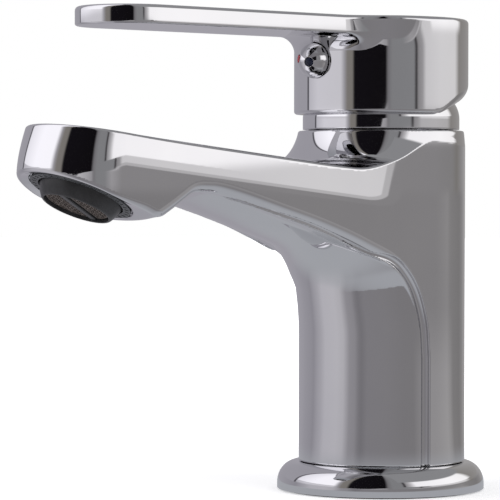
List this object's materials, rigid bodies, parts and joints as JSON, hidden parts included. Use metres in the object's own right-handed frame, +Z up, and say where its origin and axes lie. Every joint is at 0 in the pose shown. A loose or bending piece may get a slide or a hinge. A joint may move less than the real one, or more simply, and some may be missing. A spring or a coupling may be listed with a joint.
{
  "type": "single-lever basin mixer",
  "caption": "Single-lever basin mixer tap: round column with a sloping spout, flat lever on a cap that lifts and turns, index button and a tilting ball nozzle.",
  "frame": {"origin": "on the axis of the column, at the deck plane under the base gasket", "axes": "+Z up along the column axis, -Y towards the tips of the spout and the lever, +X to the right of someone who stands in front of the spout and faces the column"},
  "size_m": [0.0566, 0.1466, 0.1282],
  "materials": {
    "chrome": "polished",
    "rubber": "matte",
    "white_plastic": "satin",
    "grey_plastic": "satin",
    "black_plastic": "satin",
    "ceramic": "polished",
    "steel": "satin",
    "screen": "satin",
    "brass": "satin",
    "red": "gloss",
    "blue": "gloss"
  },
  "bodies": {
    "body": {"base_gasket": "rubber", "base_flange": "chrome", "body_casting": "chrome", "trim_dome": "chrome", "cartridge_base": "white_plastic", "inlet_seal_hot": "rubber", "inlet_seal_cold": "rubber", "outlet_seal": "rubber", "fixed_disc": "ceramic", "cartridge_housing": "white_plastic", "housing_o_ring": "rubber", "cartridge_nut": "brass", "aerator_gasket": "rubber", "aerator_housing": "grey_plastic"},
    "spindle": {"cartridge_yoke": "white_plastic", "pivot_pin": "steel"},
    "handle": {"lever_stem": "brass", "lever_handle": "chrome", "set_screw": "steel", "index_button": "chrome", "hot_dot": "red", "cold_dot": "blue"},
    "disc": {"moving_disc": "ceramic", "disc_carrier": "white_plastic"},
    "nozzle": {"swivel_nozzle": "black_plastic", "jet_plate": "grey_plastic", "outlet_screen_left": "screen", "outlet_screen_right": "screen"}
  },
  "joints": [
    {"name": "lever_turn", "type": "hinge", "parent": "body", "child": "spindle", "pos_m": [0, 0, 0.0995], "axis": [0, 0, 1], "range_deg": [-45, 45]},
    {"name": "lever_lift", "type": "hinge", "parent": "spindle", "child": "handle", "pos_m": [0, 0, 0.0995], "axis": [-1, 0, 0], "range_deg": [0, 24]},
    {"name": "disc_slide", "type": "slide", "parent": "spindle", "child": "disc", "axis": [0, -1, 0], "range_m": [0, 0.0072]},
    {"name": "nozzle_swivel", "type": "hinge", "parent": "body", "child": "nozzle", "pos_m": [0, -0.10128, 0.08316], "axis": [1, 0, 0], "range_deg": [-8, 8]}
  ],
  "couplings": [
    {"joint": "disc_slide", "follows": "lever_lift", "m_per_rad": 0.017189}
  ]
}
